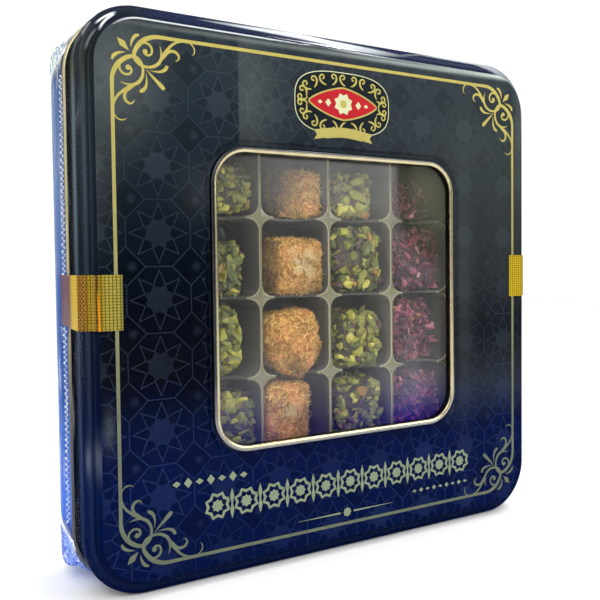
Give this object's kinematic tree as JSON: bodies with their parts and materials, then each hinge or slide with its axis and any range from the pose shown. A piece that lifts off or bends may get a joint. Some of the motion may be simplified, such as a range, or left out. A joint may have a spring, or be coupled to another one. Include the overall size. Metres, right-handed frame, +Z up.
{
  "type": "gift tin of turkish delight cubes",
  "caption": "Square windowed gift tin of coated Turkish delight cubes in a pocketed tray, sealed with tape and clear wrap, standing on its edge.",
  "frame": {"origin": "centre of the footprint at the height of the surface the tin stands on", "axes": "-Y out of the lid's face, +X to the right seen from the front, +Z up"},
  "size_m": [0.1996, 0.0454, 0.199],
  "materials": {
    "printed_tin": "gloss dark navy print with gold line work",
    "base_tin": "gloss blue lacquer",
    "gold_metal": "polished pale gold",
    "clear_sheet": "clear window sheet with a slight haze",
    "tray": "smoky olive thermoformed plastic",
    "gold_tape": "gold foil tape with a fine grid",
    "clear_film": "crinkled clear wrap",
    "pistachio_coating": "chopped pistachio with brown skins over jelly",
    "shreds_coating": "toasted golden shreds over jelly",
    "petals_coating": "dried rose petals over jelly"
  },
  "bodies": {
    "root": {"lid": "printed_tin", "lid_curl": "gold_metal", "window_rim": "gold_metal", "window_sheet": "clear_sheet", "base": "base_tin", "tray": "tray", "seal_tape_left": "gold_tape", "seal_tape_right": "gold_tape", "film_seam": "clear_film", "delight_cube_r1c1": "petals_coating", "delight_cube_r1c2": "pistachio_coating", "delight_cube_r1c3": "shreds_coating", "delight_cube_r1c4": "pistachio_coating", "delight_cube_r1c5": "petals_coating", "delight_cube_r1c6": "shreds_coating", "delight_cube_r2c1": "petals_coating", "delight_cube_r2c2": "pistachio_coating", "delight_cube_r2c3": "shreds_coating", "delight_cube_r2c4": "pistachio_coating", "delight_cube_r2c5": "petals_coating", "delight_cube_r2c6": "shreds_coating", "delight_cube_r3c1": "petals_coating", "delight_cube_r3c2": "pistachio_coating", "delight_cube_r3c3": "shreds_coating", "delight_cube_r3c4": "pistachio_coating", "delight_cube_r3c5": "petals_coating", "delight_cube_r3c6": "shreds_coating", "delight_cube_r4c1": "petals_coating", "delight_cube_r4c2": "pistachio_coating", "delight_cube_r4c3": "shreds_coating", "delight_cube_r4c4": "pistachio_coating", "delight_cube_r4c5": "petals_coating", "delight_cube_r4c6": "shreds_coating", "delight_cube_r5c1": "petals_coating", "delight_cube_r5c2": "pistachio_coating", "delight_cube_r5c3": "shreds_coating", "delight_cube_r5c4": "pistachio_coating", "delight_cube_r5c5": "petals_coating", "delight_cube_r5c6": "shreds_coating", "delight_cube_r6c1": "petals_coating", "delight_cube_r6c2": "pistachio_coating", "delight_cube_r6c3": "shreds_coating", "delight_cube_r6c4": "pistachio_coating", "delight_cube_r6c5": "petals_coating", "delight_cube_r6c6": "shreds_coating"}
  },
  "joints": []
}
